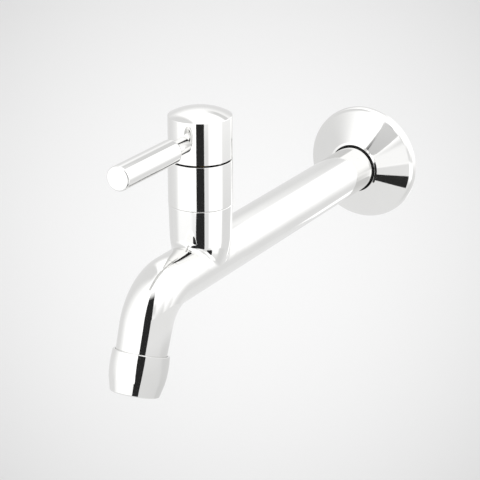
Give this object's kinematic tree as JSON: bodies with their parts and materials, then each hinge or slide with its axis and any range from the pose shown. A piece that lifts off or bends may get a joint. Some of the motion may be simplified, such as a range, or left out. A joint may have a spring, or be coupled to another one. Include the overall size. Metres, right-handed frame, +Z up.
{
  "type": "wall-mounted kitchen tap",
  "caption": "Wall-mounted single tap: long round tube from a cone flange, upright valve with a rod lever, bent spout with aerator.",
  "frame": {"origin": "centre of the threaded inlet, in the plane of the wall's surface", "axes": "+Y into the wall along the inlet thread, +Z up, the tube reaches out along -Y"},
  "size_m": [0.066, 0.2802, 0.1328],
  "materials": {
    "chromed_brass": "polished",
    "raw_brass": "machined",
    "black_rubber": "matt",
    "ceramic": "lapped ceramic",
    "white_plastic": "moulded",
    "steel": "plain"
  },
  "bodies": {
    "body": {"tap_body": "chromed_brass", "wall_flange": "chromed_brass", "flange_grip_ring": "black_rubber", "valve_shroud": "chromed_brass", "cartridge_bonnet": "raw_brass", "bonnet_o_ring": "black_rubber", "seat_seal": "black_rubber", "fixed_disc": "ceramic", "aerator_housing": "chromed_brass", "aerator_washer": "black_rubber", "aerator_cage": "white_plastic", "jet_plate": "white_plastic", "aerator_screen_upper": "steel", "aerator_screen_lower": "steel", "outlet_grid": "white_plastic"},
    "handle": {"handle_hub": "chromed_brass", "spline_insert": "white_plastic", "lever_rod": "chromed_brass", "handle_grub_screw": "steel", "spindle": "raw_brass", "spindle_circlip": "steel", "spindle_o_ring_lower": "black_rubber", "spindle_o_ring_upper": "black_rubber", "thrust_washer": "white_plastic", "moving_disc": "ceramic"}
  },
  "joints": [
    {"name": "handle_turn", "type": "hinge", "parent": "body", "child": "handle", "pos_m": [0, -0.1867, 0.0658], "axis": [0, 0, 1], "range_deg": [0, 90]}
  ]
}
